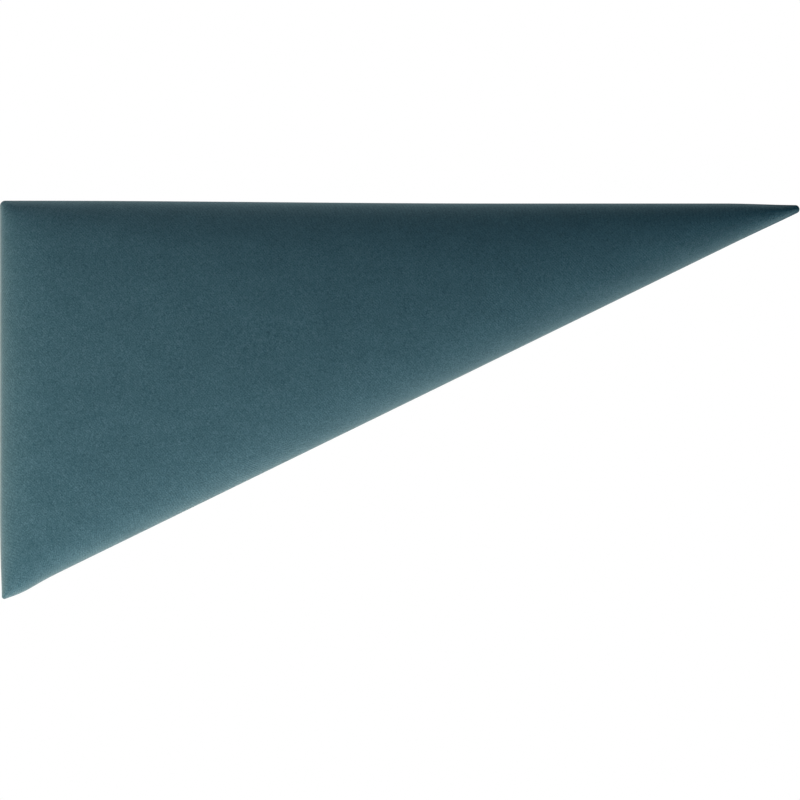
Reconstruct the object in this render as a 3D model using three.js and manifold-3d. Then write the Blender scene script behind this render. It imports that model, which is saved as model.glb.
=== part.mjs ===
// A right-triangular upholstered wall panel. A fibre board carries a foam core and a layer of
// wadding, and a velvet cover is pulled over them and stapled to the board's back. The panel
// hangs on hook-and-loop pads. Millimetres, +Z up. The wall is the plane Y = 0 and the panel
// faces -Y, so a depth d below is the plane Y = -d. The origin is the middle of the centre
// pad's wall face.
import * as THREE from 'three';
import { mergeVertices } from 'three/addons/utils/BufferGeometryUtils.js';
import Module from 'manifold-3d';

// Outline: the legs of the sharp triangle, and where the origin lies in it.
const TOP_LEG = 306;
const SIDE_LEG = 149.4;
const ORIGIN_FROM_LEFT = 100;
const ORIGIN_FROM_TOP = 50;

// The finished panel's corners are rounded, and an outline further in is rounded more.
const SQUARE_CORNER_RADIUS = 2;
const LOWER_TIP_RADIUS = 1.2;
const SHARP_TIP_RADIUS = 1.8;
const EXTRA_RADIUS_PER_INSET = 0.2;
const CORNER_STEPS = 5;

// Layers, from the wall to the front.
const GAP = 0.3;
const PAD_THICKNESS = 1.6;
const VELVET_THICKNESS = 1.2;
const BOARD_THICKNESS = 6;
const WADDING_SIDE = 1.5;
const WADDING_FRONT = 3.5;
const BOARD_BACK = 2 * (PAD_THICKNESS + GAP);
const BOARD_FRONT = BOARD_BACK + BOARD_THICKNESS;
const FOAM_BACK = BOARD_FRONT + GAP;
const HEM_FRONT = BOARD_BACK - GAP;
const HEM_BACK = HEM_FRONT - VELVET_THICKNESS;

// The padded edge: straight sides, then an elliptical round, then a shallow crown.
const BOARD_STEP = 0.3;
const FULL_WIDTH_DEPTH = 15;
const ROUND_START = 25.5;
const ROUND_INSET = 12;
const EDGE_DEPTH = 33.6;
const CROWN = 4.5;
const ROUND_STEPS = 6;
const CROWN_INSETS = [18, 26, 36, 46];
const BACK_EDGE_RADIUS = 1.2;
const HEM_WIDTH = 18;

// Hook-and-loop pads: square, with round corners, centred on these points (X, Z).
const PAD_SIDE = 20;
const PAD_CORNER_RADIUS = 2;
const PADS = {
  centre: [0, 0],
  top_left: [-68, 18],
  lower_left: [-67, -40],
  right: [68, 20],
};

// Fine-wire staples, driven through the hem into the board.
const STAPLE_CROWN = 12.8;
const STAPLE_LEG = 6;
const WIRE_THICKNESS = 0.65;
const WIRE_WIDTH = 0.95;
const STAPLE_BEND = 0.3;
const STAPLE_CHISEL = 0.7;
const STAPLE_BACK = HEM_BACK - GAP - WIRE_THICKNESS;
const STAPLE_INSET = 9.5;
const STAPLE_ROWS = [
  { name: 'left', count: 5, from: 25, to: 30 },
  { name: 'slope', count: 13, from: 30, to: 54 },
  { name: 'top', count: 11, from: 54, to: 25 },
];
const CORNER_STAPLE_DISTANCE = { square: 17, lower: 22, sharp: 38 };
const LEAN_DEGREES = 4;

const wasm = await Module();
wasm.setup();

// ---- The triangle's outline ----

const CORNERS = [
  { at: new THREE.Vector2(-ORIGIN_FROM_LEFT, ORIGIN_FROM_TOP), radius: SQUARE_CORNER_RADIUS },
  { at: new THREE.Vector2(-ORIGIN_FROM_LEFT, ORIGIN_FROM_TOP - SIDE_LEG), radius: LOWER_TIP_RADIUS },
  { at: new THREE.Vector2(TOP_LEG - ORIGIN_FROM_LEFT, ORIGIN_FROM_TOP), radius: SHARP_TIP_RADIUS },
];
const IN_RADIUS = (TOP_LEG + SIDE_LEG - Math.hypot(TOP_LEG, SIDE_LEG)) / 2;
const IN_CENTRE = new THREE.Vector2(IN_RADIUS - ORIGIN_FROM_LEFT, ORIGIN_FROM_TOP - IN_RADIUS);

function cornerAt(i) {
  return CORNERS[(i + CORNERS.length) % CORNERS.length];
}

// Outward normal of the edge that leaves corner i. The corners run anticlockwise, seen from -Y.
function edgeNormal(i) {
  const along = cornerAt(i + 1).at.clone().sub(cornerAt(i).at).normalize();
  return new THREE.Vector2(along.y, -along.x);
}

// The point that lies the same distance inside both edges of corner i.
function insidePoint(i, distance) {
  const normals = [edgeNormal(i - 1), edgeNormal(i)];
  const sum = normals[0].clone().add(normals[1]);
  return cornerAt(i).at.clone().addScaledVector(sum, -distance / (1 + normals[0].dot(normals[1])));
}

// The outline, moved inwards by an inset, at a depth. Every such ring has the same point count.
function ring({ inset, depth }) {
  const points = [];
  CORNERS.forEach((corner, i) => {
    const radius = corner.radius + EXTRA_RADIUS_PER_INSET * inset;
    const centre = insidePoint(i, inset + radius);
    const start = edgeNormal(i - 1).angle();
    const sweep = (edgeNormal(i).angle() - start + 2 * Math.PI) % (2 * Math.PI);
    for (let step = 0; step <= CORNER_STEPS; step++) {
      const angle = start + (sweep * step) / CORNER_STEPS;
      const x = centre.x + radius * Math.cos(angle);
      const z = centre.y + radius * Math.sin(angle);
      points.push(new THREE.Vector3(x, -depth, z));
    }
  });
  return points;
}

// ---- Closed solids from rings ----

// A closed surface from one end point, through the rings in turn, to another end point.
function loft(startDepth, steps, endDepth) {
  const rings = steps.map(ring);
  const count = rings[0].length;
  const start = new THREE.Vector3(IN_CENTRE.x, -startDepth, IN_CENTRE.y);
  const end = new THREE.Vector3(IN_CENTRE.x, -endDepth, IN_CENTRE.y);
  const points = [start, ...rings.flat(), end];
  const last = points.length - 1;
  const index = [];
  for (let i = 0; i < count; i++) {
    const next = (i + 1) % count;
    index.push(0, 1 + next, 1 + i);
    for (let r = 0; r + 1 < rings.length; r++) {
      const a = 1 + r * count + i;
      const b = 1 + r * count + next;
      index.push(a, b + count, a + count, a, b, b + count);
    }
    index.push(last, last - count + i, last - count + next);
  }
  const geometry = new THREE.BufferGeometry().setFromPoints(points);
  geometry.setIndex(index);
  return geometry;
}

function crownAt(inset) {
  const share = (IN_RADIUS - inset) / (IN_RADIUS - ROUND_INSET);
  return CROWN * (1 - share ** 2);
}

// How much further in the side is at a depth: the padding bulges a little past the board.
function stepAt(depth) {
  const share = (FULL_WIDTH_DEPTH - depth) / (FULL_WIDTH_DEPTH - BOARD_FRONT);
  return BOARD_STEP * THREE.MathUtils.smoothstep(share, 0, 1);
}

// One surface of the padding, from a back depth to its front: side is how far inside the finished
// outline it lies, and front is its depth where the round meets the crown.
function paddedProfile(side, front, back) {
  const depths = [back, BOARD_FRONT, (BOARD_FRONT + FULL_WIDTH_DEPTH) / 2, FULL_WIDTH_DEPTH, ROUND_START];
  const steps = depths
    .filter((depth) => depth === back || depth > back + 1)
    .map((depth) => ({ inset: side + stepAt(depth), depth }));
  for (let k = 1; k <= ROUND_STEPS; k++) {
    const angle = (k / ROUND_STEPS) * (Math.PI / 2);
    steps.push({
      inset: side + (ROUND_INSET - side) * (1 - Math.cos(angle)),
      depth: ROUND_START + (front - ROUND_START) * Math.sin(angle),
    });
  }
  CROWN_INSETS.forEach((inset) => steps.push({ inset, depth: front + crownAt(inset) }));
  return steps;
}

// ---- Boolean cuts ----

function toSolid(geometry) {
  const bare = geometry.clone();
  bare.deleteAttribute('normal');
  bare.deleteAttribute('uv');
  const merged = mergeVertices(bare);
  return new wasm.Manifold(new wasm.Mesh({
    numProp: 3,
    vertProperties: new Float32Array(merged.attributes.position.array),
    triVerts: new Uint32Array(merged.index.array),
  }));
}

function toGeometry(solid) {
  const mesh = solid.getMesh();
  const geometry = new THREE.BufferGeometry();
  geometry.setAttribute('position', new THREE.BufferAttribute(mesh.vertProperties, mesh.numProp));
  geometry.setIndex(new THREE.BufferAttribute(mesh.triVerts, 1));
  return geometry;
}

function cutSlots(geometry, slots) {
  return toGeometry(slots.reduce((solid, slot) => solid.subtract(slot), toSolid(geometry)));
}

// ---- Materials ----

function velvet() {
  return new THREE.MeshStandardMaterial({ color: 0x3b5961, roughness: 0.95, metalness: 0 });
}

function wadding() {
  return new THREE.MeshStandardMaterial({ color: 0xf2f2ee, roughness: 1, metalness: 0 });
}

function foam() {
  return new THREE.MeshStandardMaterial({ color: 0xe9e2b8, roughness: 1, metalness: 0 });
}

function fibreboard() {
  return new THREE.MeshStandardMaterial({ color: 0xa98457, roughness: 0.8, metalness: 0 });
}

function steelWire() {
  return new THREE.MeshStandardMaterial({ color: 0xb9bcc0, roughness: 0.35, metalness: 1 });
}

function loopPile() {
  return new THREE.MeshStandardMaterial({ color: 0x1d1d1f, roughness: 0.95, metalness: 0 });
}

function hookPlastic() {
  return new THREE.MeshStandardMaterial({ color: 0x242427, roughness: 0.6, metalness: 0 });
}

// ---- Sub-parts ----

function boardGeometry() {
  const inset = BOARD_STEP + VELVET_THICKNESS + GAP;
  const steps = [{ inset, depth: BOARD_BACK }, { inset, depth: BOARD_FRONT }];
  return loft(BOARD_BACK, steps, BOARD_FRONT);
}

function foamGeometry() {
  const side = VELVET_THICKNESS + WADDING_SIDE + 2 * GAP;
  const front = EDGE_DEPTH - VELVET_THICKNESS - WADDING_FRONT - 2 * GAP;
  return loft(FOAM_BACK, paddedProfile(side, front, FOAM_BACK), front + CROWN);
}

// A cup: its inner surface from the front to the back, then its outer surface to the front again.
function cupGeometry(inner, outer, innerFront, outerFront) {
  return loft(innerFront + CROWN, [...inner.reverse(), ...outer], outerFront + CROWN);
}

function waddingGeometry() {
  const side = VELVET_THICKNESS + GAP;
  const front = EDGE_DEPTH - VELVET_THICKNESS - GAP;
  const innerFront = front - WADDING_FRONT;
  const inner = paddedProfile(side + WADDING_SIDE, innerFront, FOAM_BACK);
  const outer = paddedProfile(side, front, FOAM_BACK);
  return cupGeometry(inner, outer, innerFront, front);
}

function coverGeometry() {
  const innerFront = EDGE_DEPTH - VELVET_THICKNESS;
  const inner = [
    { inset: HEM_WIDTH, depth: HEM_FRONT },
    ...paddedProfile(VELVET_THICKNESS, innerFront, HEM_FRONT),
  ];
  const outer = [
    { inset: HEM_WIDTH, depth: HEM_BACK },
    { inset: BOARD_STEP + BACK_EDGE_RADIUS, depth: HEM_BACK },
    { inset: BOARD_STEP + BACK_EDGE_RADIUS * 0.3, depth: HEM_BACK + BACK_EDGE_RADIUS * 0.3 },
    ...paddedProfile(0, EDGE_DEPTH, HEM_BACK + BACK_EDGE_RADIUS),
  ];
  return cupGeometry(inner, outer, innerFront, EDGE_DEPTH);
}

function padGeometry() {
  const half = PAD_SIDE / 2;
  const flat = half - PAD_CORNER_RADIUS;
  const shape = new THREE.Shape();
  shape.absarc(flat, flat, PAD_CORNER_RADIUS, 0, Math.PI / 2);
  shape.absarc(-flat, flat, PAD_CORNER_RADIUS, Math.PI / 2, Math.PI);
  shape.absarc(-flat, -flat, PAD_CORNER_RADIUS, Math.PI, 1.5 * Math.PI);
  shape.absarc(flat, -flat, PAD_CORNER_RADIUS, 1.5 * Math.PI, 2 * Math.PI);
  shape.closePath();
  const geometry = new THREE.ExtrudeGeometry(shape, {
    depth: PAD_THICKNESS, bevelEnabled: false, curveSegments: 3,
  });
  return geometry.rotateX(Math.PI / 2);
}

// A staple with its crown along X at the origin's depth, and its legs pointing to -Y.
function stapleGeometry() {
  const outer = STAPLE_CROWN / 2;
  const inner = outer - WIRE_THICKNESS;
  const bend = STAPLE_BEND + WIRE_THICKNESS;
  const tip = STAPLE_CHISEL - STAPLE_LEG;
  const shape = new THREE.Shape();
  shape.moveTo(outer, tip);
  shape.lineTo(outer, -bend);
  shape.absarc(outer - bend, -bend, bend, 0, Math.PI / 2);
  shape.absarc(bend - outer, -bend, bend, Math.PI / 2, Math.PI);
  shape.lineTo(-outer, tip);
  shape.lineTo(-inner, -STAPLE_LEG);
  shape.absarc(STAPLE_BEND - inner, -bend, STAPLE_BEND, Math.PI, Math.PI / 2, true);
  shape.absarc(inner - STAPLE_BEND, -bend, STAPLE_BEND, Math.PI / 2, 0, true);
  shape.lineTo(inner, -STAPLE_LEG);
  shape.closePath();
  const geometry = new THREE.ExtrudeGeometry(shape, {
    depth: WIRE_WIDTH, bevelEnabled: false, curveSegments: 2,
  });
  return geometry.translate(0, 0, -WIRE_WIDTH / 2);
}

// ---- Staple places ----

// A staple's middle (X, Z) and its crown's direction. Staples shot by hand lean a little.
function staplePlace(name, middle, direction, number) {
  const lean = LEAN_DEGREES * THREE.MathUtils.DEG2RAD * Math.sin(2.4 * number);
  return { name, middle, angle: direction.angle() + lean };
}

function rowPlaces(row, edge) {
  const start = cornerAt(edge).at;
  const end = cornerAt(edge + 1).at;
  const along = end.clone().sub(start).normalize();
  const pitch = (start.distanceTo(end) - row.from - row.to) / (row.count - 1);
  return Array.from({ length: row.count }, (_, i) => {
    const middle = start.clone()
      .addScaledVector(along, row.from + i * pitch)
      .addScaledVector(edgeNormal(edge), -STAPLE_INSET);
    const name = `staple_${row.name}_${String(i + 1).padStart(2, '0')}`;
    return staplePlace(name, middle, along, i + edge);
  });
}

// One more staple holds the folded corner, lying along the line that halves its angle.
function cornerPlace(name, i, distance) {
  const inwards = insidePoint(i, 1).sub(cornerAt(i).at).normalize();
  const middle = cornerAt(i).at.clone().addScaledVector(inwards, distance);
  return staplePlace(`staple_${name}_corner`, middle, inwards, i);
}

function staplePlaces() {
  const rows = STAPLE_ROWS.flatMap((row, edge) => rowPlaces(row, edge));
  const corners = Object.entries(CORNER_STAPLE_DISTANCE)
    .map(([name, distance], i) => cornerPlace(name, i, distance));
  return [...rows, ...corners];
}

// The slots that a staple's two legs need in the hem and the board.
function slotSolids({ middle, angle }) {
  const top = HEM_BACK - GAP / 2;
  const bottom = STAPLE_BACK + STAPLE_LEG + GAP;
  const reach = (STAPLE_CROWN - WIRE_THICKNESS) / 2;
  return [-reach, reach].map((offset) => {
    const box = new THREE.BoxGeometry(
      WIRE_THICKNESS + 2 * GAP, bottom - top, WIRE_WIDTH + 2 * GAP,
    );
    box.translate(offset, -(top + bottom) / 2, 0);
    box.rotateY(-angle);
    box.translate(middle.x, 0, middle.y);
    return toSolid(box);
  });
}

// ---- Assembly ----

const panel = new THREE.Group();

function add(name, geometry, material, x = 0, depth = 0, z = 0, angle = 0) {
  const mesh = new THREE.Mesh(geometry, material);
  mesh.name = name;
  mesh.position.set(x, -depth, z);
  mesh.rotation.y = -angle;
  panel.add(mesh);
}

const places = staplePlaces();
const slots = places.flatMap(slotSolids);

add('back_board', cutSlots(boardGeometry(), slots), fibreboard());
add('foam_core', foamGeometry(), foam());
add('wadding_layer', waddingGeometry(), wadding());
add('velvet_cover', cutSlots(coverGeometry(), slots), velvet());
for (const [name, [x, z]] of Object.entries(PADS)) {
  add(`hook_pad_${name}`, padGeometry(), hookPlastic(), x, 0, z);
  add(`loop_pad_${name}`, padGeometry(), loopPile(), x, PAD_THICKNESS + GAP, z);
}
for (const { name, middle, angle } of places) {
  add(name, stapleGeometry(), steelWire(), middle.x, STAPLE_BACK, middle.y, angle);
}

export default panel;
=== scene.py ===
"""The looks of a triangular upholstered wall panel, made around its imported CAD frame.

The velvet cover, wadding, foam and hook-and-loop pads are modelled here. The fibreboard and
the staples are the CAD's own, with better materials. Lengths are in millimetres and are
turned into metres when a mesh is made; the stage's are in metres. A depth is a distance
from the wall plane y = 0 towards the front, which is -Y.
"""

import math

import bmesh
import bpy
import numpy as np
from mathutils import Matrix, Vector
from mathutils.geometry import delaunay_2d_cdt


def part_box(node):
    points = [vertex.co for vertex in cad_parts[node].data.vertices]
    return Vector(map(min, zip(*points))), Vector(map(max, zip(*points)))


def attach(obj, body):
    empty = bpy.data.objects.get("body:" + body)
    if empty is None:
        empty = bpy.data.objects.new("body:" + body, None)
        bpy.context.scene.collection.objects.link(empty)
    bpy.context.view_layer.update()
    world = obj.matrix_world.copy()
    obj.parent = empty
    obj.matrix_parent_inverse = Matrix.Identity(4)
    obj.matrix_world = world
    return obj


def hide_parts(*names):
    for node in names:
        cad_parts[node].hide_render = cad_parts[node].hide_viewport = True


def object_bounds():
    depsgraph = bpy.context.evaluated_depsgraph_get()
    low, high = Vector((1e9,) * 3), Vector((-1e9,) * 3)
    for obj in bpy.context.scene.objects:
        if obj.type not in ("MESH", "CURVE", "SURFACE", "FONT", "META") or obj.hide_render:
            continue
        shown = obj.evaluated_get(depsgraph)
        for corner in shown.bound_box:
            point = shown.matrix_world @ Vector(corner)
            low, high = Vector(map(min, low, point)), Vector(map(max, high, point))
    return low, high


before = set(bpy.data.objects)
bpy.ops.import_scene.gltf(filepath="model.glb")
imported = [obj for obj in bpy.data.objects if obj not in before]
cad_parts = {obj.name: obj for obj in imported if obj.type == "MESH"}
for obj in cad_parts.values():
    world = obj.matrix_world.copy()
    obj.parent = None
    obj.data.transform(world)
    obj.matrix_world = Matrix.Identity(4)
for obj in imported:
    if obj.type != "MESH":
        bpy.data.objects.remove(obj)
cad_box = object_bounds()

MM = 0.001
TINY = 0.01

# ---- Sizes from the frame ----


def frame_box(node):
    """A CAD node's lowest and highest corner, in millimetres."""
    low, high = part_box(node)
    return np.array(low) / MM, np.array(high) / MM


COVER_LOW, COVER_HIGH = frame_box("velvet_cover")
BOARD_LOW, _ = frame_box("back_board")
FOAM_LOW, FOAM_HIGH = frame_box("foam_core")
WADDING_LOW, _ = frame_box("wadding_layer")
FRONT = -COVER_LOW[1]
HEM_BACK = -COVER_HIGH[1]
BOARD_FRONT = -BOARD_LOW[1]
FOAM_BACK = -FOAM_HIGH[1]
PADS = [name[len("hook_pad_"):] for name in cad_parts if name.startswith("hook_pad_")]
STAPLES = [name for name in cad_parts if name.startswith("staple_")]

# ---- Driving sizes of the soft parts ----

SLOPE = math.radians(26.02)
CAD_SHARP_RADIUS = 1.8
# Corners: 0 is the square one, 1 the lower tip, 2 the sharp tip.
CORNER_RADII = (2.0, 0.8, 1.47)
# A ring's corners are rounder than the outline's by this share of its inset.
RING_RADIUS_GROWTH = 0.12
# 0 would leave the front a crease on each corner's bisector, and 1 blends most widely.
CORNER_BLEND = 0.85

# The stretched cloth leaves the straight triangle a little. A span is a stretch along the
# top edge, from the left, and a reach is how far from its edge a move fades out.
TOP_SAG = 0.55
SQUARE_CORNER_RISE = 1.05
RISE_SPAN = (10, 190)
RISE_REACH = 25
LOWER_TIP_PULL = 0.6
PULL_HEIGHT = 37
PULL_REACH = 15
LOWER_TIP_RISE = 0.3
LOWER_TIP_HEIGHT = 8
LOWER_TOE = 0.8
TOE_PLACE = 7.5
TOE_REACH = 8
SLOPE_FULLNESS = 0.42
FULLNESS_START_SPAN = (-2, 14)
FULLNESS_END_SPAN = (270, 300)
FULLNESS_LOST_AT_END = 0.6
FULLNESS_REACH = 25
SHARP_TIP_DROOP = 0.6
DROOP_SPAN = (272, 300)

# The velvet is thinner where it is pulled tight over the board's edge.
VELVET = 1.2
VELVET_AT_BOARD = 0.75
# The front rises from the straight side at ROUND_START, flattens over ROUND_INSET, and
# swells by CROWN in the middle.
CROWN = 4.5
ROUND_START = 25.5
ROUND_INSET = 28.0
ROUND_POWER = 3.0
# The side is held in by BOARD_STEP at the board and bulges past it at FULL_WIDTH_DEPTH.
BOARD_STEP = 0.18
FULL_WIDTH_DEPTH = 15.0
BACK_EDGE_RADIUS = 1.2
HEM_WIDTH = 18.0

# ---- The triangle's outline ----


def unit(vector):
    """The vector at length 1."""
    return vector / np.linalg.norm(vector)


LEFT = COVER_LOW[0]
TOP = COVER_HIGH[2] - TOP_SAG
CAD_TOP_LEG = COVER_HIGH[0] - LEFT + CAD_SHARP_RADIUS * (1 / math.tan(SLOPE / 2) - 1)
BOTTOM = COVER_HIGH[2] - CAD_TOP_LEG * math.tan(SLOPE)
RIGHT = LEFT + (TOP - BOTTOM) / math.tan(SLOPE)
CORNERS = np.array([[LEFT, TOP], [LEFT, BOTTOM], [RIGHT, TOP]])
# Edge i leaves corner i: the left edge, the slope and the top edge.
ALONG = np.array([unit(CORNERS[(i + 1) % 3] - CORNERS[i]) for i in range(3)])
OUTWARD = np.stack([ALONG[:, 1], -ALONG[:, 0]], 1)


def edge_distances(points):
    """Distance inside each of the three edges, one column per edge."""
    return np.stack([(CORNERS[i] - points) @ OUTWARD[i] for i in range(3)], 1)


def inside_point(i, distance):
    """The point that lies the same distance inside both edges of corner i."""
    before, after = OUTWARD[(i - 1) % 3], OUTWARD[i % 3]
    return CORNERS[i % 3] - distance * (before + after) / (1 + before @ after)


def half_angle_sine(i):
    """The sine of half the angle between the two edges of corner i."""
    return math.sqrt((1 + OUTWARD[(i - 1) % 3] @ OUTWARD[i]) / 2)


def rounded_inset(points):
    """Distance inside the outline, blended smoothly over the line that bisects each corner."""
    edges = edge_distances(points)
    nearest = np.full(len(points), np.inf)
    spread = 1 - CORNER_BLEND**2
    for i in range(3):
        before, after = edges[:, (i - 1) % 3], edges[:, i]
        cut = CORNER_RADII[i] * (1 - half_angle_sine(i))
        total = before + after + 2 * cut * CORNER_BLEND
        product = before * after - cut**2
        root = np.sqrt(np.maximum(total**2 - 4 * spread * product, 0))
        nearest = np.minimum(nearest, (total - root) / (2 * spread))
    return np.maximum(nearest, 0)


def outline_inset(points):
    """Distance inside the outline with its corners rounded to CORNER_RADII."""
    nearest = edge_distances(points).min(1)
    for i in range(3):
        offset = points - inside_point(i, CORNER_RADII[i])
        beyond = (offset @ ALONG[i] < 0) & (offset @ ALONG[(i - 1) % 3] > 0)
        to_arc = CORNER_RADII[i] - np.linalg.norm(offset, axis=1)
        nearest = np.where(beyond, to_arc, nearest)
    return np.maximum(nearest, 0)


def bubble(points):
    """1 at the centroid and 0 on the edges: how a skin held along a triangle swells."""
    heights = [edge_distances(CORNERS[(i + 2) % 3][None])[0, i] for i in range(3)]
    shares = np.clip(edge_distances(points) / np.array(heights), 0, 1)
    return 27 * shares.prod(1)


def smooth_step(value, low, high):
    """0 up to low, 1 from high, and an even S between."""
    share = np.clip((value - low) / (high - low), 0, 1)
    return share * share * (3 - 2 * share)


def fade(distance, reach):
    """1 at distance 0, and nearly 0 at twice the reach."""
    return np.exp(-((distance / reach) ** 2))


def settle(points):
    """Points (x, z) of the straight triangle moved to where the stretched cloth pulls them."""
    left, slope, top = edge_distances(points).T
    along_top = points[:, 0] - LEFT
    above_tip = points[:, 1] - BOTTOM
    along_slope = (points - CORNERS[1]) @ ALONG[1]
    rise = SQUARE_CORNER_RISE * (1 - smooth_step(along_top, *RISE_SPAN)) * fade(top, RISE_REACH)
    rise = rise + LOWER_TIP_RISE * (1 - smooth_step(above_tip, 0, LOWER_TIP_HEIGHT))
    droop = SHARP_TIP_DROOP * smooth_step(along_top, *DROOP_SPAN)
    near_tip = (1 - np.clip(above_tip / PULL_HEIGHT, 0, 1)) ** 2
    pull = LOWER_TIP_PULL * near_tip * fade(left, PULL_REACH)
    toe = LOWER_TOE * fade(along_slope - TOE_PLACE, TOE_PLACE) * fade(slope, TOE_REACH)
    share_from_top = top / np.maximum(top + slope, TINY)
    full = SLOPE_FULLNESS * share_from_top * fade(slope, FULLNESS_REACH)
    full = full * smooth_step(along_top, *FULLNESS_START_SPAN)
    full = full * (1 - FULLNESS_LOST_AT_END * smooth_step(along_top, *FULLNESS_END_SPAN))
    moved = points + (toe + full)[:, None] * OUTWARD[1]
    moved[:, 0] += pull
    moved[:, 1] += rise - droop
    return moved


# ---- Rings: the outline at an inset ----

# Steps on each corner's arc and on each edge, and how far an edge's points crowd to its ends.
ARC_STEPS = 20
EDGE_STEPS = (90, 210, 190)
EDGE_CLUSTER = 0.6


def ring(inset):
    """The straight triangle's outline moved inwards: points (x, z), and outward normals."""
    points, normals = [], []
    radii = [radius + RING_RADIUS_GROWTH * inset for radius in CORNER_RADII]
    for i in range(3):
        centre = inside_point(i, inset + radii[i])
        before, after = OUTWARD[(i - 1) % 3], OUTWARD[i]
        start = math.atan2(before[1], before[0])
        sweep = (math.atan2(after[1], after[0]) - start) % math.tau
        angles = start + sweep * np.arange(ARC_STEPS + 1) / ARC_STEPS
        arc = np.stack([np.cos(angles), np.sin(angles)], 1)
        begin = centre + radii[i] * after
        end = inside_point(i + 1, inset + radii[(i + 1) % 3]) + radii[(i + 1) % 3] * after
        share = np.arange(1, EDGE_STEPS[i]) / EDGE_STEPS[i]
        share = share - EDGE_CLUSTER / math.tau * np.sin(math.tau * share)
        points += [centre + radii[i] * arc, begin + share[:, None] * (end - begin)]
        normals += [arc, np.repeat(after[None], len(share), 0)]
    return np.concatenate(points), np.concatenate(normals)


# ---- Layers: closed shells made of rings ----

ROUND_RINGS = 14
SIDE_RINGS = 14
# The rounded edge has close rings to RING_REACH, two wider ones, and then an even grid.
RING_REACH = 6.0
FRONT_INSETS = (6.9, 8.0)
FILL_SPACING = 2.2
FILL_CLEARANCE = 0.55
MERGE_DISTANCE = 1e-6
# At the rim itself the blended inset is never below this share of the true one.
RIM_SHARE = 0.25
RIM_SOFTNESS = 0.15
UNEVEN_SEED = 5
UNEVEN_WAVES = 60
UNEVEN_LENGTHS = (8.0, 36.0)
UNEVEN_SLOPE = 0.012
UNEVEN_FROM = 0.3


def front_depth(points, side, front):
    """Depth of a layer's front: a long round that starts upright at its side, and a crown."""
    blended, least = rounded_inset(points), RIM_SHARE * outline_inset(points)
    inset = (blended + least + np.hypot(blended - least, RIM_SOFTNESS)) / 2
    share = np.clip((inset - side) / (ROUND_INSET - side), 0, 1)
    rise = np.sqrt(1 - (1 - share) ** ROUND_POWER)
    swell = CROWN * bubble(points) + unevenness(points) * smooth_step(share, 0, UNEVEN_FROM)
    return ROUND_START + (front - CROWN - ROUND_START) * rise + swell


def waves(points, seed, count, lengths, slope):
    """A sum of waves in all directions, in millimetres, with the given mean slope."""
    random = np.random.default_rng(seed)
    total = np.zeros(len(points))
    for _ in range(count):
        length = random.uniform(*lengths)
        turn = random.uniform(0, math.pi)
        phase = random.uniform(0, math.tau)
        reach = points @ np.array([math.cos(turn), math.sin(turn)])
        total += length * np.sin(math.tau * reach / length + phase)
    return slope * total / (math.tau * math.sqrt(count / 2))


def unevenness(points):
    """Faint swells and hollows of padding covered by hand."""
    return waves(points, UNEVEN_SEED, UNEVEN_WAVES, UNEVEN_LENGTHS, UNEVEN_SLOPE)


def board_share(depth):
    """1 where the board holds the cover, 0 where the padding bulges past it."""
    return 1 - smooth_step(depth, BOARD_FRONT, FULL_WIDTH_DEPTH)


class Layer:
    """Rings of one face of a layer, from its front to its back."""

    def __init__(self, side, front):
        self.side = side
        self.front = front
        self.rings = []
        angles = np.linspace(0, math.pi / 2, ROUND_RINGS + 1)
        insets = side + (RING_REACH - side) * (1 - np.cos(angles))
        for inset in list(FRONT_INSETS[::-1]) + list(insets[::-1]):
            points, _ = ring(inset)
            self.add(inset, front_depth(points, side, front))

    def add(self, inset, depth):
        """One more ring, at one depth or at a depth for each point."""
        points, normals = ring(inset)
        depths = np.broadcast_to(depth, len(points)).astype(float)
        self.rings.append([points, depths.copy(), normals, inset])

    def add_side(self, back, held_inset=None):
        """Rings down the side to a depth, where the board may hold them at another inset."""
        for depth in np.linspace(ROUND_START, back, SIDE_RINGS + 1)[1:]:
            held = board_share(depth)
            inset = self.side if held_inset is None else held_inset
            self.add(self.side + held * (inset - self.side + BOARD_STEP), depth)

    def flat_places(self):
        """Where each ring's points lie when the cloth is unrolled flat."""
        first, _, first_normals, _ = self.rings[0]
        places, rolled = [], np.zeros(len(first))
        for number, (points, depths, _, _) in enumerate(self.rings):
            if number:
                last_points, last_depths = self.rings[number - 1][:2]
                steps = np.linalg.norm(points - last_points, axis=1)
                rolled = rolled + np.hypot(steps, depths - last_depths)
            places.append(first + first_normals * rolled[:, None])
        return places


def hex_grid(spacing, margin):
    """A grid of points at least margin inside every edge, each row shifted by half a step."""
    points = []
    for number, z in enumerate(np.arange(BOTTOM, TOP, spacing * math.sqrt(3) / 2)):
        xs = np.arange(LEFT + (number % 2) * spacing / 2, RIGHT, spacing)
        points.append(np.stack([xs, np.full_like(xs, z)], 1))
    points = np.concatenate(points)
    return points[edge_distances(points).min(1) > margin]


def fill(boundary):
    """Points inside a ring, and triangles over the ring's points followed by those."""
    inset = edge_distances(boundary).min()
    inner = hex_grid(FILL_SPACING, inset)
    near = np.linalg.norm(inner[:, None] - boundary[None], axis=2).min(1)
    inner = inner[near > FILL_CLEARANCE * FILL_SPACING]
    count = len(boundary)
    points = [Vector(p) for p in np.concatenate([boundary, inner])]
    edges = [(i, (i + 1) % count) for i in range(count)]
    made = delaunay_2d_cdt(points, edges, [list(range(count))], 1, MERGE_DISTANCE)
    origin = [old[0] for old in made[3]]
    faces = [[origin[v] for v in face] for face in made[2]]
    used = sorted({v for face in faces for v in face if v >= count})
    places = {v: count + n for n, v in enumerate(used)}
    faces = [[v if v < count else places[v] for v in face] for face in faces]
    return inner[[v - count for v in used]], faces


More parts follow.
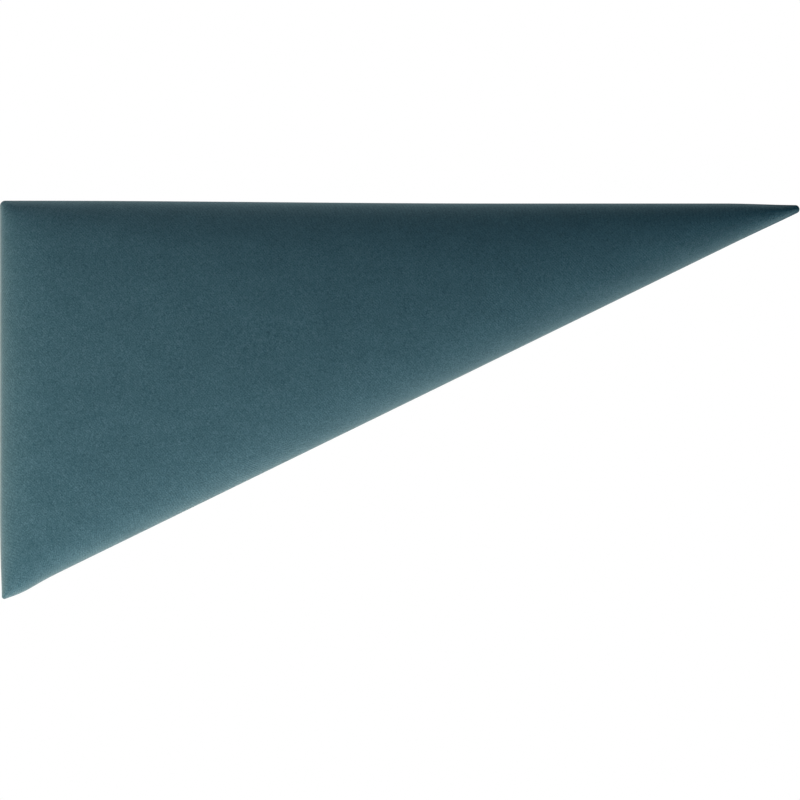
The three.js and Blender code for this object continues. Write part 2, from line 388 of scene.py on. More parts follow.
def close_shell(rings, front_face, back_face):
    """Points (x, z, depth) and faces of rings joined in order and filled at both ends.

    front_face and back_face give the depth of points inside the first and the last ring."""
    count = len(rings[0][0])
    points = [np.column_stack([p, d]) for p, d, _, _ in rings]
    faces = []
    for r in range(len(rings) - 1):
        for i in range(count):
            j = (i + 1) % count
            a, b = r * count, (r + 1) * count
            faces.append([a + i, a + j, b + j, b + i])
    total = len(rings) * count
    for base, ring_points, depth_of in (
        (0, rings[0][0], front_face),
        ((len(rings) - 1) * count, rings[-1][0], back_face),
    ):
        inner, triangles = fill(ring_points)
        faces += [[base + v if v < count else total + v - count for v in f] for f in triangles]
        points.append(np.column_stack([inner, depth_of(inner)]))
        total += len(inner)
    return np.concatenate(points), faces


def make_mesh(name, points, faces, cloth=None, settled=True):
    """A smooth closed mesh from points (x, z, depth) in millimetres."""
    mesh = bpy.data.meshes.new(name)
    flat = settle(points[:, :2]) if settled else points[:, :2]
    places = np.column_stack([flat[:, 0], -points[:, 2], flat[:, 1]]) * MM
    mesh.from_pydata(places.tolist(), [], faces)
    if cloth is not None:
        attribute = mesh.attributes.new("cloth", "FLOAT_VECTOR", "POINT")
        values = np.column_stack([cloth, np.zeros(len(cloth))]) * MM
        attribute.data.foreach_set("vector", values.astype(np.float32).ravel())
    work = bmesh.new()
    work.from_mesh(mesh)
    bmesh.ops.recalc_face_normals(work, faces=work.faces)
    work.to_mesh(mesh)
    work.free()
    mesh.polygons.foreach_set("use_smooth", [True] * len(mesh.polygons))
    mesh.update()
    piece = bpy.data.objects.new(name, mesh)
    bpy.context.scene.collection.objects.link(piece)
    return piece


# ---- Velvet cover ----

# How the hem stands off the board: at a staple, free of it, and over a corner's fold.
STAPLE_SEAT = 0.25
STAPLE_GRIP = 3.2
CROWN_DEPTH = 0.3
HEM_PUFF = 0.4
HEM_SEED = 11
HEM_WAVES = 30
HEM_LENGTHS = (6.0, 25.0)
HEM_SLOPE = 0.05
FLAP = 0.9
FLAP_WIDTH = 15.0
FLAP_ROOT_SHARE = 0.35
FLAP_ROOT = 5.0
FLAP_STEP = 0.5
FLAP_OVERRUN = 1.1
FLAP_END = 6.0
# The raw edge wanders, more the further it is from the fold.
CUT_FROM = 6.0
CUT_WAVES = 12
CUT_LENGTHS = (12.0, 60.0)
CUT_SLOPE = 0.12
HEM_RINGS = 20
INNER_HEM_START = 4.0
INNER_HEM_RINGS = 5
INNER_CORNER = 0.5
BACK_EDGE_RINGS = 5


def staple_crown(name):
    """The two ends (x, z) of a staple's crown, in millimetres."""
    places = np.array([v.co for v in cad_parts[name].data.vertices]) / MM
    crown = places[places[:, 1] > places[:, 1].max() - CROWN_DEPTH][:, [0, 2]]
    middle = crown.mean(0)
    along = np.linalg.svd(crown - middle)[2][0]
    reach = (crown - middle) @ along
    return middle + reach.min() * along, middle + reach.max() * along


CROWNS = [staple_crown(name) for name in STAPLES]


def staple_distance(points):
    """Distance from each point to the nearest staple's crown."""
    nearest = np.full(len(points), np.inf)
    for start, end in CROWNS:
        run = end - start
        share = np.clip((points - start) @ run / (run @ run), 0, 1)
        gaps = np.linalg.norm(points - start - share[:, None] * run, axis=1)
        nearest = np.minimum(nearest, gaps)
    return nearest


def corner_flap(points):
    """0 to 1: a fold of cloth over each corner, which ends in a step on the corner's bisector."""
    height = np.zeros(len(points))
    for i in range(3):
        inwards = unit(inside_point(i, HEM_WIDTH) - CORNERS[i])
        across = np.array([-inwards[1], inwards[0]])
        beside = (points - CORNERS[i]) @ across
        length = (points - CORNERS[i]) @ inwards
        reach = HEM_WIDTH / half_angle_sine(i) * FLAP_OVERRUN
        near = 1 - smooth_step(length, reach, reach + FLAP_END)
        growth = smooth_step(beside, -FLAP_WIDTH, -1)
        flap = FLAP_ROOT_SHARE + (1 - FLAP_ROOT_SHARE) * growth
        flap = flap * smooth_step(-beside, 0, FLAP_STEP)
        flap = flap * smooth_step(beside, -FLAP_WIDTH, -FLAP_WIDTH + FLAP_ROOT)
        height = np.maximum(height, flap * near)
    return height


def hem_lift(points):
    """How far the hem stands off towards the wall: pressed at staples, doubled at corners."""
    free = 1 - fade(staple_distance(points), STAPLE_GRIP)
    puff = HEM_PUFF + waves(points, HEM_SEED, HEM_WAVES, HEM_LENGTHS, HEM_SLOPE)
    return STAPLE_SEAT + free * (puff + FLAP * corner_flap(points))


def cut_edge(points, normals, inset):
    """Points of a hem ring moved to follow scissors that wandered along the raw edge."""
    share = smooth_step(inset, CUT_FROM, HEM_WIDTH)
    wander = waves(points, HEM_SEED + 1, CUT_WAVES, CUT_LENGTHS, CUT_SLOPE)
    return points + share * normals * wander[:, None]


def cover_outside():
    """The pile side: front, sides, rounded back edge and hem.

    points and depths are the new ring's own arrays, so changing them moves the ring."""
    outer = Layer(0.0, FRONT)
    outer.add_side(HEM_BACK + BACK_EDGE_RADIUS)
    for angle in np.linspace(0, math.pi / 2, BACK_EDGE_RINGS + 1)[1:-1]:
        inset = BOARD_STEP + BACK_EDGE_RADIUS * (1 - math.cos(angle))
        outer.add(inset, HEM_BACK + BACK_EDGE_RADIUS * (1 - math.sin(angle)))
        points, depths = outer.rings[-1][:2]
        depths -= math.sin(angle) ** 2 * hem_lift(points)
    for inset in np.linspace(BOARD_STEP + BACK_EDGE_RADIUS, HEM_WIDTH, HEM_RINGS):
        outer.add(inset, HEM_BACK)
        points, depths, normals, _ = outer.rings[-1]
        points[:] = cut_edge(points, normals, inset)
        depths -= hem_lift(points)
    return outer


def cover_inside():
    """The side towards the padding and the board."""
    inner = Layer(VELVET, FRONT - VELVET)
    inner.add_side(HEM_BACK + VELVET + INNER_CORNER, VELVET_AT_BOARD)
    inner.add(BOARD_STEP + VELVET_AT_BOARD + INNER_CORNER, HEM_BACK + VELVET)
    for inset in np.linspace(INNER_HEM_START, HEM_WIDTH, INNER_HEM_RINGS):
        inner.add(inset, HEM_BACK + VELVET)
        points, _, normals, _ = inner.rings[-1]
        points[:] = cut_edge(points, normals, inset)
    return inner


def build_cover():
    """The velvet: pile outside, with its reverse and cut edge in a second material."""
    outer, inner = cover_outside(), cover_inside()
    rings = outer.rings + inner.rings[::-1]
    points, faces = close_shell(
        rings,
        lambda p: front_depth(p, 0.0, FRONT),
        lambda p: front_depth(p, VELVET, FRONT - VELVET),
    )
    flat = np.concatenate(outer.flat_places() + inner.flat_places()[::-1])
    cloth = np.concatenate([flat, points[len(flat):, :2]])
    cover = make_mesh("cover_velvet", points, faces, cloth)
    cover.data.materials.append(velvet_material())
    cover.data.materials.append(backing_material())
    around = len(rings[0][0])
    pile_faces = (len(outer.rings) - 1) * around
    ring_faces = (len(rings) - 1) * around
    _, front_triangles = fill(rings[0][0])
    numbers = np.arange(len(faces))
    front = (numbers >= ring_faces) & (numbers < ring_faces + len(front_triangles))
    reverse = (numbers >= pile_faces) & ~front
    cover.data.polygons.foreach_set("material_index", reverse.astype(np.int32))
    return cover


# ---- Wadding and foam ----

WADDING_SIDE = 1.5
WADDING_FRONT = 3.5
TOUCH_GAP = 0.3


def build_wadding():
    """A blanket of wadding over the foam's front and sides, open at the board."""
    side = VELVET + TOUCH_GAP
    outer_front = -WADDING_LOW[1]
    outer = Layer(side, outer_front)
    inner = Layer(side + WADDING_SIDE, outer_front - WADDING_FRONT)
    outer.add_side(FOAM_BACK)
    inner.add_side(FOAM_BACK)
    points, faces = close_shell(
        outer.rings + inner.rings[::-1],
        lambda p: front_depth(p, outer.side, outer.front),
        lambda p: front_depth(p, inner.side, inner.front),
    )
    piece = make_mesh("wadding_sheet", points, faces)
    piece.data.materials.append(wadding_material())
    return piece


def build_foam():
    """The foam slab, rounded by the cover that squeezes it."""
    layer = Layer(VELVET + WADDING_SIDE + 2 * TOUCH_GAP, -FOAM_LOW[1])
    layer.add_side(FOAM_BACK)
    points, faces = close_shell(
        layer.rings,
        lambda p: front_depth(p, layer.side, layer.front),
        lambda p: np.full(len(p), FOAM_BACK),
    )
    piece = make_mesh("foam_slab", points, faces)
    piece.data.materials.append(foam_material())
    return piece


# ---- Hook-and-loop pads ----

# A pad's profile is a list of pairs: the inset from its side, and the depth.
PAD_RADIUS = 2.0
LEAST_RADIUS = 0.4
TAPE_BASE = 0.75
FILM = 0.2
# Hooks stand in rows, and their heads reach a little into the loops.
HOOK_PITCH = 1.5
HOOK_MARGIN = 1.0
HOOK_TOP = 0.28
HOOK_ROOT = 0.05
HOOK_LEAN = 0.22
HOOK_JITTER = 0.08
HOOK_TWIST = 0.3
# A hook's sections from root to tip: share of its height, radius, and share of its lean.
HOOK_SECTIONS = (
    (0, 0.24, 0.0),
    (0.35, 0.15, 0.1),
    (0.75, 0.14, 0.5),
    (1.0, 0.2, 1.4),
    (0.86, 0.1, 2.4),
)
HOOK_SIDES = 4
# The loop pile's face is a set of rings, from the middle out, pushed about at random.
LOOP_FROM_MIDDLE = 0.7
LOOP_FROM_EDGE = 0.6
LOOP_RADIUS = 0.35
LOOP_STEP = 0.62
LOOP_JITTER = 0.12
LOOP_GAP = 0.08
LOOP_UNEVEN = 0.22


def square_ring(half, radius, arc_steps=6, edge_steps=7):
    """Points of a square with rounded corners, anticlockwise."""
    points = []
    for quarter in range(4):
        turn = quarter * math.pi / 2
        angles = turn + math.pi / 2 * np.arange(arc_steps + 1) / arc_steps
        centre = (half - radius) * math.sqrt(2) * np.array(
            [math.cos(turn + math.pi / 4), math.sin(turn + math.pi / 4)]
        )
        arc = centre + radius * np.stack([np.cos(angles), np.sin(angles)], 1)
        run = -np.array([math.sin(turn + math.pi / 2), -math.cos(turn + math.pi / 2)])
        share = np.arange(1, edge_steps)[:, None] / edge_steps
        points += [arc, arc[-1] + share * 2 * (half - radius) * run]
    return np.concatenate(points)


def stack_mesh(name, rings, centre):
    """A closed mesh of square rings (points, depths), closed at both ends by a middle point."""
    count = len(rings[0][0])
    points = [np.column_stack([p, np.broadcast_to(d, count)]) for p, d in rings]
    ends = [[0, 0, np.mean(rings[0][1])], [0, 0, np.mean(rings[-1][1])]]
    points = np.concatenate(points + [np.array(ends)]) + np.array([centre[0], centre[1], 0])
    faces = []
    for r in range(len(rings) - 1):
        for i in range(count):
            j = (i + 1) % count
            a, b = r * count, (r + 1) * count
            faces.append([a + i, a + j, b + j, b + i])
    first, last = len(rings) * count, len(rings) * count + 1
    base = (len(rings) - 1) * count
    for i in range(count):
        j = (i + 1) % count
        faces += [[first, j, i], [last, base + i, base + j]]
    return make_mesh(name, points, faces, settled=False)


def pad_frame(node):
    """A pad's middle (x, z), half its side, and the depths of its back and front."""
    low, high = frame_box(node)
    middle = (low + high) / 2
    return (middle[0], middle[2]), (high[0] - low[0]) / 2, -high[1], -low[1]


def pad_rings(half, profile):
    """Square rings, with corners of at least LEAST_RADIUS, for a list of insets and depths."""
    return [(square_ring(half - i, max(PAD_RADIUS - i, LEAST_RADIUS)), d) for i, d in profile]


def hook(place, root, tip, turn):
    """Points and faces of one stem with a bent-over head, from depth root to tip."""
    lean = HOOK_LEAN * np.array([math.cos(turn), math.sin(turn)])
    height = tip - root
    corners = np.array([[1, 1], [-1, 1], [-1, -1], [1, -1]]) / math.sqrt(2)
    points = []
    for share, radius, reach in HOOK_SECTIONS:
        section = place + radius * corners + reach * lean
        points.append(np.column_stack([section, np.full(HOOK_SIDES, root + share * height)]))
    faces = [[3, 2, 1, 0]]
    top = HOOK_SIDES * (len(HOOK_SECTIONS) - 1)
    for base in range(0, top, HOOK_SIDES):
        for i in range(HOOK_SIDES):
            j = (i + 1) % HOOK_SIDES
            faces.append([base + i, base + j, base + HOOK_SIDES + j, base + HOOK_SIDES + i])
    faces.append([top, top + 1, top + 2, top + 3])
    return np.concatenate(points), faces


def build_hook_tape(place):
    """Glue film on the wall and the woven base in front of it."""
    centre, half, back, _ = pad_frame("hook_pad_" + place)
    film_front = back + FILM
    base_front = film_front + TAPE_BASE
    film = [(6.0, back), (2.5, back), (0.25, back), (0.12, back + 0.03), (0.1, film_front)]
    base = [
        (0.0, film_front + 0.05),
        (0.0, base_front - 0.12),
        (0.12, base_front),
        (2.5, base_front),
        (6.0, base_front),
    ]
    rings = pad_rings(half, film + base)
    pad = stack_mesh("hook_tape_" + place, rings, centre)
    pad.data.materials.append(tape_material())
    pad.data.materials.append(film_material())
    around = len(rings[0][0])
    index = np.zeros(len(pad.data.polygons), np.int32)
    index[:(len(film) - 1) * around] = 1
    index[-2 * around::2] = 1
    pad.data.polygons.foreach_set("material_index", index)
    return pad


def build_hooks(place, random):
    """Rows of moulded hooks that face the panel, each row bent the other way."""
    centre, half, back, front = pad_frame("hook_pad_" + place)
    root = back + FILM + TAPE_BASE - HOOK_ROOT
    points, faces = [], []
    count = int(2 * (half - HOOK_MARGIN) / HOOK_PITCH)
    for row in range(count):
        for column in range(count):
            spot = (np.array([column, row]) - (count - 1) / 2) * HOOK_PITCH
            jitter = random.uniform(-HOOK_JITTER, HOOK_JITTER, 2)
            turn = math.pi / 2 * (1 if row % 2 else -1)
            turn += random.uniform(-HOOK_TWIST, HOOK_TWIST)
            made, made_faces = hook(np.array(centre) + spot + jitter, root, front + HOOK_TOP, turn)
            first = len(made) * len(points)
            faces += [[first + v for v in face] for face in made_faces]
            points.append(made)
    hooks = make_mesh("hooks_" + place, np.concatenate(points), faces, settled=False)
    hooks.data.materials.append(hook_material())
    return hooks


def build_loop_pad(place, random):
    """Tape glued to the board, with a soft uneven pile towards the wall."""
    centre, half, pile_back, glued = pad_frame("loop_pad_" + place)
    film_back = glued - FILM
    base = film_back - TAPE_BASE
    rings = []
    for inset in np.arange(half - LOOP_FROM_MIDDLE, LOOP_FROM_EDGE, -LOOP_STEP):
        points = square_ring(half - inset, max(PAD_RADIUS - inset, LOOP_RADIUS))
        points = points + random.uniform(-LOOP_JITTER, LOOP_JITTER, points.shape)
        uneven = random.uniform(0, LOOP_UNEVEN, len(points))
        rings.append((points, pile_back + LOOP_GAP + uneven))
    rings += pad_rings(half, [
        (0.5, pile_back + 0.25),
        (0.22, pile_back + 0.42),
        (0.3, base - 0.1),
        (0.0, base + 0.02),
        (0.0, film_back - 0.08),
        (0.1, film_back),
        (0.12, glued - 0.03),
        (0.25, glued),
        (2.5, glued),
        (6.0, glued),
    ])
    pad = stack_mesh("loop_tape_" + place, rings, centre)
    pad.data.materials.append(loop_material())
    return pad


# ---- Materials ----


class Shader:
    """A Principled material with short ways to add nodes."""

    def __init__(self, name, roughness, colour=(0.8, 0.8, 0.8), metallic=0.0):
        self.material = bpy.data.materials.new(name)
        self.material.use_nodes = True
        self.tree = self.material.node_tree
        self.surface = self.tree.nodes["Principled BSDF"]
        self.set(**{"Roughness": roughness, "Base Color": (*colour, 1), "Metallic": metallic})

    def set(self, **values):
        """Constants on the Principled node's own inputs."""
        for name, value in values.items():
            self.surface.inputs[name].default_value = value

    def node(self, kind, inputs=None, **settings):
        """A new node with values or links for its inputs, and its other settings."""
        made = self.tree.nodes.new("ShaderNode" + kind)
        for name, value in settings.items():
            setattr(made, name, value)
        for name, value in (inputs or {}).items():
            self.give(made.inputs[name], value)
        return made

    def give(self, socket, value):
        """Links a socket, or sets a constant."""
        if isinstance(value, bpy.types.NodeSocket):
            self.tree.links.new(value, socket)
        else:
            socket.default_value = value

    def colour(self, value):
        """Links a colour to the surface."""
        self.give(self.surface.inputs["Base Color"], value)

    def roughness(self, value):
        """Links a roughness to the surface."""
        self.give(self.surface.inputs["Roughness"], value)

    def place(self):
        """The place on the object, in metres."""
        return self.node("TexCoord").outputs["Object"]

    def scaled(self, vector, scale, rotation=(0, 0, 0)):
        """A vector turned and scaled: a small scale draws out the pattern made from it."""
        inputs = {"Vector": vector, "Scale": scale, "Rotation": rotation}
        return self.node("Mapping", inputs).outputs["Vector"]

    def math(self, operation, a, b=0.0, c=0.0):
        """A Math node's result."""
        made = self.node("Math", {0: a, 1: b, 2: c}, operation=operation)
        return made.outputs[0]

    def noise(self, vector, size, detail=2.0, roughness=0.5):
        """Noise of features about size millimetres across."""
        inputs = {"Vector": vector, "Scale": 1 / (size * MM)}
        inputs.update({"Detail": detail, "Roughness": roughness})
        return self.node("TexNoise", inputs).outputs["Fac"]

    def cells(self, vector, size):
        """The distance to the middle of the nearest of many cells, size millimetres apart."""
        inputs = {"Vector": vector, "Scale": 1 / (size * MM)}
        return self.node("TexVoronoi", inputs).outputs["Distance"]

    def threads(self, vector, scale, direction):
        """Parallel bands across X or Z, as the threads of a weave."""
        inputs = {"Vector": vector, "Scale": scale}
        return self.node("TexWave", inputs, bands_direction=direction).outputs["Fac"]

    def spread(self, value, low, high):
        """Maps 0..1 to low..high without clamping."""
        return self.math("MULTIPLY_ADD", value, high - low, low)

    def mix(self, factor, a, b):
        """A colour between a and b, each a colour or a socket."""
        made = self.node("Mix", {0: factor}, data_type="RGBA")
        for socket, value in ((made.inputs[6], a), (made.inputs[7], b)):
            self.give(socket, value if isinstance(value, bpy.types.NodeSocket) else (*value, 1))
        return made.outputs[2]

    def bump(self, height, distance):
        """Tilts the surface as if the height were distance millimetres high."""
        inputs = {"Height": height, "Distance": distance * MM}
        self.give(self.surface.inputs["Normal"], self.node("Bump", inputs).outputs["Normal"])


RIB_PITCH = 0.88
RIB_WANDER = 5.0
RIB_TONE = 0.1
RIB_HEIGHT = 0.3
VELVET_COLOUR = (0.042, 0.14, 0.189)
# How far the pile's tone moves red, green and blue, as shares of the colour. The tone is the
# pile's own,
# # but red's larger swing is painted sheen: the grain of the grey sheen, which this colour can't
# move.
TONE_AND_SHEEN_SWING = (2.0, 0.9, 0.75)


def velvet_rib(shader):
    """-1 to 1: a faint diagonal rib in the cloth, which wanders a little."""
    cloth = shader.node("Attribute", attribute_name="cloth").outputs["Vector"]
    turn = math.tau / (RIB_PITCH * MM * math.sqrt(2))
    along = shader.node("VectorMath", {0: cloth, 1: (turn, turn, 0)}, operation="DOT_PRODUCT")
    wander = shader.noise(cloth, 4.0)
    phase = shader.math("MULTIPLY_ADD", wander, RIB_WANDER, along.outputs["Value"])
    return shader.math("SINE", phase)


def velvet_tone(shader, place, pile, rib):
    """About 1: lighter and darker fibres, tufts, strokes brushed across the nap, and ribs."""
    tufts = shader.noise(place, 1.5, 3.0, 0.6)
    nap = shader.noise(shader.scaled(place, (0.6, 1, 1), (0, 0.7, 0)), 8.0, 4.0, 0.6)
    tone = shader.spread(pile, -0.4, 2.4)
    tone = shader.math("MULTIPLY", tone, shader.spread(tufts, 0.62, 1.38))
    tone = shader.math("MULTIPLY", tone, shader.spread(nap, 0.75, 1.25))
    return shader.math("MULTIPLY", tone, shader.math("MULTIPLY_ADD", rib, RIB_TONE, 1.0))


def velvet_material():
    """Short teal pile over a diagonal rib, with a grey bloom where the pile is seen side on."""
    shader = Shader("velvet", 0.95)
    shader.set(**{
        "Specular IOR Level": 0.1,
        "Sheen Weight": 1.0,
        "Sheen Roughness": 0.6,
        "Sheen Tint": (0.9, 1.0, 1.0, 1),
    })
    place = shader.place()
    rib = velvet_rib(shader)
    pile = shader.noise(place, 0.43, 2.0, 0.65)
    tone = velvet_tone(shader, place, pile, rib)
    # The pile's own tone, with painted sheen grain in red's larger swing.
    tone_and_sheen_swing = [value * share for value, share in zip(VELVET_COLOUR, TONE_AND_SHEEN_SWING)]
    steady = [value - moved for value, moved in zip(VELVET_COLOUR, tone_and_sheen_swing)]
    toned = shader.node("VectorMath", {0: tone, 1: tone_and_sheen_swing, 2: steady}, operation="MULTIPLY_ADD")
    above_zero = {0: toned.outputs["Vector"], 1: (0, 0, 0)}
    colour = shader.node("VectorMath", above_zero, operation="MAXIMUM")
    shader.colour(colour.outputs["Vector"])
    shader.bump(shader.math("MULTIPLY_ADD", rib, RIB_HEIGHT, pile), 0.04)
    return shader.material


def backing_material():
    """The velvet's reverse and cut edge: a dull knitted ground."""
    shader = Shader("velvet_backing", 1.0)
    shader.set(**{"Specular IOR Level": 0.05})
    place = shader.place()
    stitches = shader.noise(place, 0.5, 2.0)
    colour = shader.mix(stitches, (0.05, 0.12, 0.145), (0.12, 0.21, 0.235))
    shader.colour(colour)
    shader.bump(stitches, 0.12)
    return shader.material


def wadding_material():
    """White polyester fibres, matted in long streaks."""
    shader = Shader("wadding", 1.0)
    shader.set(**{"Sheen Weight": 0.3, "Specular IOR Level": 0.1})
    place = shader.place()
    streaks = shader.scaled(place, (0.25, 1.0, 1.0))
    fibres = shader.noise(streaks, 0.6, 6.0, 0.75)
    clumps = shader.noise(place, 7.0, 3.0)
    tone = shader.math("MULTIPLY_ADD", fibres, 0.6, shader.math("MULTIPLY", clumps, 0.4))
    colour = shader.mix(tone, (0.72, 0.72, 0.7), (0.95, 0.95, 0.93))
    shader.colour(colour)
    shader.bump(tone, 0.5)
    return shader.material


def foam_material():
    """Cut polyurethane foam: fine open cells with painted shade in their middles, cream with
    slight yellowing.
    """
    shader = Shader("foam", 0.95)
    shader.set(**{"Specular IOR Level": 0.15})
    place = shader.place()
    cells = shader.cells(place, 0.9)
    yellowing = shader.noise(place, 30.0, 2.0)
    # Painted shade: the cream darkens towards each cell's middle, where the bump sinks into a
    # pore.
    painted_pore_shade_mix = shader.math("MULTIPLY", cells, 0.9)
    base = shader.mix(yellowing, (0.86, 0.82, 0.62), (0.82, 0.74, 0.5))
    colour = shader.mix(painted_pore_shade_mix, base, (0.95, 0.93, 0.8))
    shader.colour(colour)
    shader.bump(cells, 0.4)
    return shader.material


def board_material():
    """Fine wood fibreboard: pressed fibres, darker specks and a faint mottle."""
    shader = Shader("fibreboard", 0.75)
    shader.set(**{"Specular IOR Level": 0.25})
    place = shader.place()
    fibres = shader.noise(shader.scaled(place, (0.3, 1.0, 1.0)), 0.5, 6.0, 0.7)
    mottle = shader.noise(place, 12.0, 3.0)
    near_speck = {"Value": shader.cells(place, 2.4), "From Min": 0.1, "From Max": 0.2}
    clear_of_specks = shader.node("MapRange", near_speck).outputs["Result"]
    tone = shader.math("MULTIPLY_ADD", fibres, 0.75, shader.math("MULTIPLY", mottle, 0.35))
    colour = shader.mix(tone, (0.25, 0.145, 0.07), (0.56, 0.38, 0.22))
    colour = shader.mix(clear_of_specks, (0.2, 0.11, 0.055), colour)
    shader.colour(colour)
    shader.bump(fibres, 0.12)
    return shader.material


def steel_material():
    """Bright galvanised wire with draw marks."""
    shader = Shader("staple_steel", 0.3, (0.62, 0.63, 0.65), 1.0)
    place = shader.place()
    marks = shader.noise(place, 0.25, 4.0, 0.7)
    dull = shader.noise(place, 2.0, 3.0)
    shader.roughness(shader.spread(dull, 0.35, 0.6))
    shader.colour(shader.mix(dull, (0.45, 0.46, 0.48), (0.75, 0.76, 0.78)))
    shader.bump(marks, 0.02)
    return shader.material


def tape_material():
    """Black nylon tape, closely woven."""
    shader = Shader("hook_tape", 0.7)
    place = shader.place()
    warp = shader.threads(place, 250.0, "X")
    weft = shader.threads(place, 180.0, "Z")
    weave = shader.math("MULTIPLY", warp, weft)
    shader.colour(shader.mix(weave, (0.008, 0.008, 0.009), (0.035, 0.035, 0.038)))
    shader.bump(weave, 0.08)
    return shader.material


def film_material():
    """Clear, slightly yellow glue film over black tape, with the marks of its liner."""
    shader = Shader("glue_film", 0.22)
    place = shader.place()
    marks = shader.noise(place, 3.0, 3.0)
    grain = shader.noise(place, 0.4, 2.0)
    shader.colour(shader.mix(marks, (0.03, 0.029, 0.026), (0.075, 0.07, 0.06)))
    shader.roughness(shader.spread(marks, 0.1, 0.4))
    shader.bump(grain, 0.03)
    return shader.material


def hook_material():
    """Black moulded nylon."""
    shader = Shader("hook_nylon", 0.4)
    place = shader.place()
    tone = shader.noise(place, 0.8, 2.0)
    shader.colour(shader.mix(tone, (0.01, 0.01, 0.011), (0.03, 0.03, 0.032)))
    return shader.material


def loop_material():
    """Black napped loops."""
    shader = Shader("loop_pile", 1.0)
    shader.set(**{"Sheen Weight": 0.5, "Sheen Roughness": 0.5, "Specular IOR Level": 0.1})
    place = shader.place()
    fuzz = shader.noise(place, 0.3, 4.0, 0.8)
    shader.colour(shader.mix(fuzz, (0.004, 0.004, 0.005), (0.04, 0.04, 0.043)))
    shader.bump(fuzz, 0.2)
    return shader.material


# ---- Stage ----

# Lengths here are in metres. The view is CAMERA_SCALE wide, and the panel's top edge is
# TOP_ABOVE_MIDDLE of that above its middle.
CAMERA_SCALE = 0.3002
CAMERA_DISTANCE = 1.2
TOP_ABOVE_MIDDLE = 0.2475
FLOOR_DROP = 0.42
FLOOR_HALF = 3.0
FLOOR_GLOW = 0.6
NEUTRAL = (0.95, 1, 0.97)
WARM = (1.25, 1, 0.7)
COOL = (0.1, 1, 1.4)
DIM_FILL = (0.002, 0.014, 0.019)


def area_light(name, place, target, size, power, colour=(1, 1, 1)):
    """A rectangular light that points at the target and isn't seen itself."""
    data = bpy.data.lights.new(name, "AREA")
    data.shape = "RECTANGLE"
    data.size, data.size_y = size
    data.energy = power
    data.color = colour
    light = bpy.data.objects.new(name, data)
    light.location = place
    light.rotation_euler = (Vector(target) - Vector(place)).to_track_quat("-Z", "Y").to_euler()
    light.visible_camera = False
    bpy.context.scene.collection.objects.link(light)


def make_camera():
    """Straight at the front: the view starts at the panel's left edge and is as wide as it."""
    data = bpy.data.cameras.new("camera")
    data.type = "ORTHO"
    data.ortho_scale = CAMERA_SCALE
    camera = bpy.data.objects.new("camera", data)
    low, high = cad_box
    middle_z = high.z - TOP_ABOVE_MIDDLE * CAMERA_SCALE
    camera.location = (low.x + CAMERA_SCALE / 2, -CAMERA_DISTANCE, middle_z)
    camera.rotation_euler = (math.pi / 2, 0, 0)
    bpy.context.scene.collection.objects.link(camera)
    bpy.context.scene.camera = camera


def floor_material():
    """Pale and matt. Its own glow reaches only the camera, so the panel's light stays plain."""
    shader = Shader("pale_floor", 0.9, (0.86, 0.86, 0.86))
    seen = shader.node("LightPath").outputs["Is Camera Ray"]
    glow = shader.math("MULTIPLY", seen, FLOOR_GLOW)
    shader.give(shader.surface.inputs["Emission Strength"], glow)
    shader.set(**{"Emission Color": (1, 1, 1, 1)})
    return shader.material


def make_floor():
    """A square floor well below the panel, out of the camera's sight."""
    mesh = bpy.data.meshes.new("floor")
    z = cad_box[0].z - FLOOR_DROP
    sides = ((-1, -1), (1, -1), (1, 1), (-1, 1))
    mesh.from_pydata([(FLOOR_HALF * x, FLOOR_HALF * y, z) for x, y in sides], [], [(0, 1, 2, 3)])
    floor = bpy.data.objects.new("floor", mesh)
    bpy.context.scene.collection.objects.link(floor)
    mesh.materials.append(floor_material())


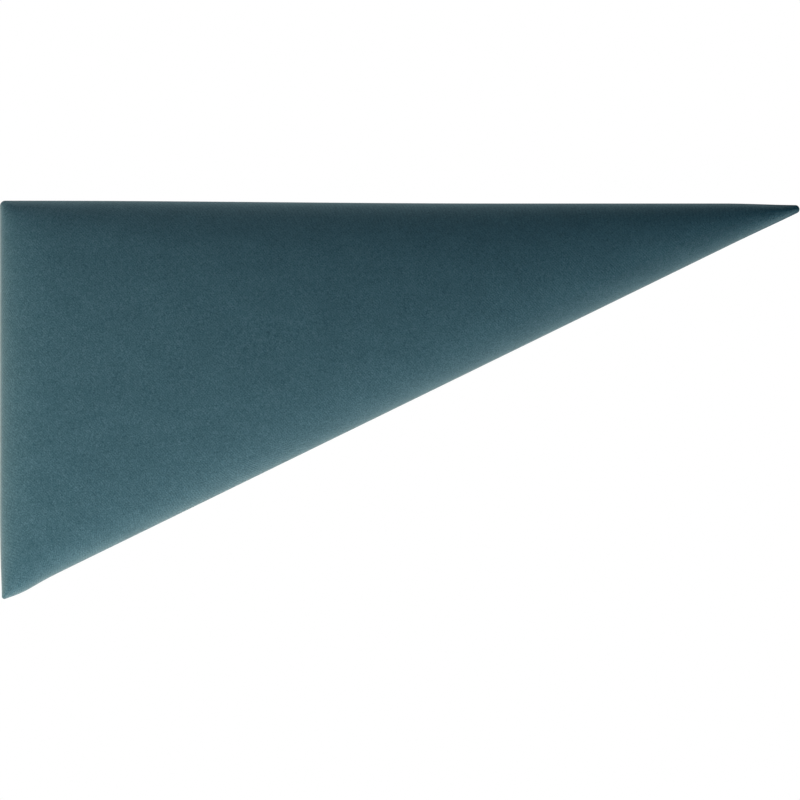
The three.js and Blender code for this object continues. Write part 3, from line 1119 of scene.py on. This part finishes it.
def make_world(fill_light):
    """White where the camera sees it, and a dim light from all round."""
    world = bpy.data.worlds.new("studio")
    bpy.context.scene.world = world
    world.use_nodes = True
    nodes, links = world.node_tree.nodes, world.node_tree.links
    background = nodes["Background"]
    path = nodes.new("ShaderNodeLightPath")
    mix = nodes.new("ShaderNodeMix")
    mix.data_type = "RGBA"
    mix.inputs[6].default_value = (*fill_light, 1)
    mix.inputs[7].default_value = (1, 1, 1, 1)
    links.new(path.outputs["Is Camera Ray"], mix.inputs[0])
    links.new(mix.outputs[2], background.inputs["Color"])


def make_lights():
    """Softboxes low in front, below, at the left and behind; weak cool ones fill the rest."""
    middle, lower, left_edge = (0, 0, 0), (0, 0, -0.03), (-0.1, 0, -0.03)
    area_light("low_front", (-0.25, -0.25, -0.45), lower, (0.3, 0.3), 0.95, NEUTRAL)
    area_light("front_left", (-0.5, -0.35, -0.15), (-0.05, 0, -0.03), (0.3, 0.3), 1.0, NEUTRAL)
    area_light("below", (0.12, -0.05, -0.42), (0.05, 0, -0.03), (0.5, 0.3), 0.8, NEUTRAL)
    area_light("below_left", (-0.15, -0.05, -0.4), (0, 0, -0.06), (0.3, 0.3), 0.35, WARM)
    area_light("left", (-0.6, -0.05, -0.1), left_edge, (0.3, 0.4), 0.65, WARM)
    area_light("above_left", (-0.12, 0.12, 0.45), (-0.05, 0, 0.04), (0.4, 0.2), 0.75, NEUTRAL)
    area_light("high", (0, -0.6, 0.6), middle, (0.5, 0.5), 0.25, COOL)
    area_light("front", (0, -1.2, 0), middle, (1, 1), 0.3, COOL)
    area_light("low_right", (0.5, -0.3, -0.4), (0.1, 0, 0), (0.3, 0.3), 0.2, COOL)
    area_light("behind", (0.3, 0.8, 0.45), (0, 0, -0.02), (1.2, 1.2), 4.0)


# ---- Assembly ----

bpy.context.scene.view_settings.view_transform = "Standard"
make_camera()
make_floor()
make_world(DIM_FILL)
make_lights()


def place_piece(piece, node):
    """Makes a piece move with the root body, and hides the CAD node it stands for."""
    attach(piece, "root")
    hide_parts(node)


cover = build_cover()
place_piece(cover, "velvet_cover")
wadding = build_wadding()
place_piece(wadding, "wadding_layer")
foam = build_foam()
place_piece(foam, "foam_core")

for number, place in enumerate(PADS):
    random = np.random.default_rng(number)
    place_piece(build_hook_tape(place), "hook_pad_" + place)
    place_piece(build_hooks(place, random), "hook_pad_" + place)
    place_piece(build_loop_pad(place, random), "loop_pad_" + place)

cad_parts["back_board"].data.materials[0] = board_material()
steel = steel_material()
for name in STAPLES:
    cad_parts[name].data.materials[0] = steel
